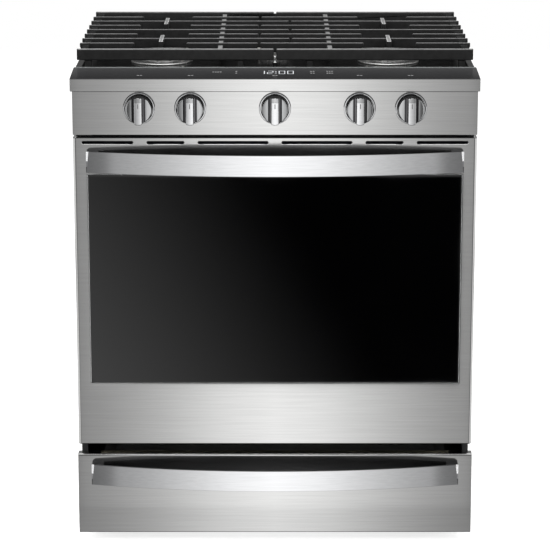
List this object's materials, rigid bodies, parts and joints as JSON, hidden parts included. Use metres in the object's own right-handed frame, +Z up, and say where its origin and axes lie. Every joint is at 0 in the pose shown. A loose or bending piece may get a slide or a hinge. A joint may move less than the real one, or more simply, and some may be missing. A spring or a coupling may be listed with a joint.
{
  "type": "freestanding gas range",
  "caption": "Freestanding gas range with a front console, knobs, interlocking grates, a bowed-handle oven door with black glass, and a storage drawer.",
  "frame": {"origin": "on the floor, below the middle of the outline in plan", "axes": "+Z up, front faces -Y, +X to the right of someone facing the front"},
  "size_m": [0.76, 0.7349, 0.94],
  "materials": {
    "stainless": "brushed horizontally",
    "trim_steel": "satin",
    "satin_metal": "satin",
    "black_enamel": "gloss enamel",
    "oven_enamel": "speckled gloss enamel",
    "side_paint": "satin paint",
    "plated_steel": "plated",
    "cast_iron": "matt enamelled",
    "black_glass": "black backed glass",
    "clear_glass": "tinted clear",
    "burner_alloy": "cast",
    "brass": "machined",
    "ceramic": "unglazed",
    "mineral_wool": "loose fibre",
    "gasket_weave": "woven",
    "board": "matt",
    "housing_black": "matt",
    "lever_paint": "gloss",
    "rack_chrome": "polished",
    "lamp_glass": "clear",
    "motor_steel": "satin"
  },
  "bodies": {
    "cabinet": {"side_panel_left": "side_paint", "side_panel_right": "side_paint", "base_frame": "plated_steel", "back_panel": "plated_steel", "back_screws": "plated_steel", "levelling_legs": "housing_black", "cooktop_pan": "black_enamel", "console_housing": "housing_black", "touch_glass": "black_glass", "control_board": "board", "front_trim": "trim_steel", "control_panel": "stainless", "knob_bezels": "satin_metal", "gas_manifold": "plated_steel", "valve_bodies": "brass", "burner_tubes": "burner_alloy", "regulator": "burner_alloy", "burner_heads": "burner_alloy", "burner_caps": "black_enamel", "spark_electrodes": "ceramic", "grate_pin": "trim_steel", "oven_liner": "oven_enamel", "insulation": "mineral_wool", "oven_gasket": "gasket_weave", "bake_burner": "plated_steel", "broil_burner": "plated_steel", "oven_light": "lamp_glass", "temperature_sensor": "plated_steel", "fan_motor": "motor_steel", "fan_cover": "oven_enamel", "hinge_receivers": "plated_steel", "hinge_arms": "plated_steel", "drawer_rails": "plated_steel", "power_gland": "housing_black"},
    "door": {"door_skin": "stainless", "door_glass": "black_glass", "door_liner": "oven_enamel", "door_inner_glass": "clear_glass", "door_handle": "satin_metal", "hinge_channels": "plated_steel"},
    "drawer": {"drawer_front": "stainless", "drawer_box": "plated_steel", "drawer_handle": "satin_metal", "drawer_slides": "plated_steel"},
    "grate_left": {"grate_left": "cast_iron"},
    "grate_right": {"grate_right": "cast_iron"},
    "rack_upper": {"rack_upper": "rack_chrome"},
    "rack_lower": {"rack_lower": "rack_chrome"},
    "fan": {"fan_blade": "plated_steel"},
    "shutoff_lever": {"shutoff_lever": "lever_paint"},
    "valve_stem_1": {"valve_stem_1": "brass"},
    "knob_1": {"knob_1": "satin_metal"},
    "valve_stem_2": {"valve_stem_2": "brass"},
    "knob_2": {"knob_2": "satin_metal"},
    "valve_stem_3": {"valve_stem_3": "brass"},
    "knob_3": {"knob_3": "satin_metal"},
    "valve_stem_4": {"valve_stem_4": "brass"},
    "knob_4": {"knob_4": "satin_metal"},
    "valve_stem_5": {"valve_stem_5": "brass"},
    "knob_5": {"knob_5": "satin_metal"}
  },
  "joints": [
    {"name": "door_hinge", "type": "hinge", "parent": "cabinet", "child": "door", "pos_m": [0, -0.2795, 0.21], "axis": [1, 0, 0], "range_deg": [0, 90], "stiffness_Nm_per_rad": 16, "springref_deg": -28.65},
    {"name": "drawer_slide", "type": "slide", "parent": "cabinet", "child": "drawer", "axis": [0, -1, 0], "range_m": [0, 0.36]},
    {"name": "knob_1_turn", "type": "hinge", "parent": "cabinet", "child": "valve_stem_1", "pos_m": [-0.252, -0.3065, 0.849], "axis": [0, -1, 0], "range_deg": [0, 225]},
    {"name": "knob_1_push", "type": "slide", "parent": "valve_stem_1", "child": "knob_1", "axis": [0, 1, 0], "range_m": [0, 0.0035], "stiffness_N_per_m": 1200, "springref_m": -0.004},
    {"name": "knob_2_turn", "type": "hinge", "parent": "cabinet", "child": "valve_stem_2", "pos_m": [-0.157, -0.3065, 0.849], "axis": [0, -1, 0], "range_deg": [0, 225]},
    {"name": "knob_2_push", "type": "slide", "parent": "valve_stem_2", "child": "knob_2", "axis": [0, 1, 0], "range_m": [0, 0.0035], "stiffness_N_per_m": 1200, "springref_m": -0.004},
    {"name": "knob_3_turn", "type": "hinge", "parent": "cabinet", "child": "valve_stem_3", "pos_m": [0, -0.3065, 0.849], "axis": [0, -1, 0], "range_deg": [0, 225]},
    {"name": "knob_3_push", "type": "slide", "parent": "valve_stem_3", "child": "knob_3", "axis": [0, 1, 0], "range_m": [0, 0.0035], "stiffness_N_per_m": 1200, "springref_m": -0.004},
    {"name": "knob_4_turn", "type": "hinge", "parent": "cabinet", "child": "valve_stem_4", "pos_m": [0.157, -0.3065, 0.849], "axis": [0, -1, 0], "range_deg": [0, 225]},
    {"name": "knob_4_push", "type": "slide", "parent": "valve_stem_4", "child": "knob_4", "axis": [0, 1, 0], "range_m": [0, 0.0035], "stiffness_N_per_m": 1200, "springref_m": -0.004},
    {"name": "knob_5_turn", "type": "hinge", "parent": "cabinet", "child": "valve_stem_5", "pos_m": [0.252, -0.3065, 0.849], "axis": [0, -1, 0], "range_deg": [0, 225]},
    {"name": "knob_5_push", "type": "slide", "parent": "valve_stem_5", "child": "knob_5", "axis": [0, 1, 0], "range_m": [0, 0.0035], "stiffness_N_per_m": 1200, "springref_m": -0.004},
    {"name": "grate_left_lift", "type": "slide", "parent": "cabinet", "child": "grate_left", "axis": [0, 0, 1], "range_m": [0, 0.08]},
    {"name": "grate_right_lift", "type": "slide", "parent": "cabinet", "child": "grate_right", "axis": [0, 0, 1], "range_m": [0, 0.08]},
    {"name": "rack_upper_slide", "type": "slide", "parent": "cabinet", "child": "rack_upper", "axis": [0, -1, 0], "range_m": [0, 0.015]},
    {"name": "rack_lower_slide", "type": "slide", "parent": "cabinet", "child": "rack_lower", "axis": [0, -1, 0], "range_m": [0, 0.015]},
    {"name": "fan_spin", "type": "hinge", "parent": "cabinet", "child": "fan", "pos_m": [0, 0.2335, 0.485], "axis": [0, 1, 0], "continuous": true},
    {"name": "shutoff_turn", "type": "hinge", "parent": "cabinet", "child": "shutoff_lever", "pos_m": [0.308, 0.3123, 0.849], "axis": [1, 0, 0], "range_deg": [0, 90]}
  ]
}
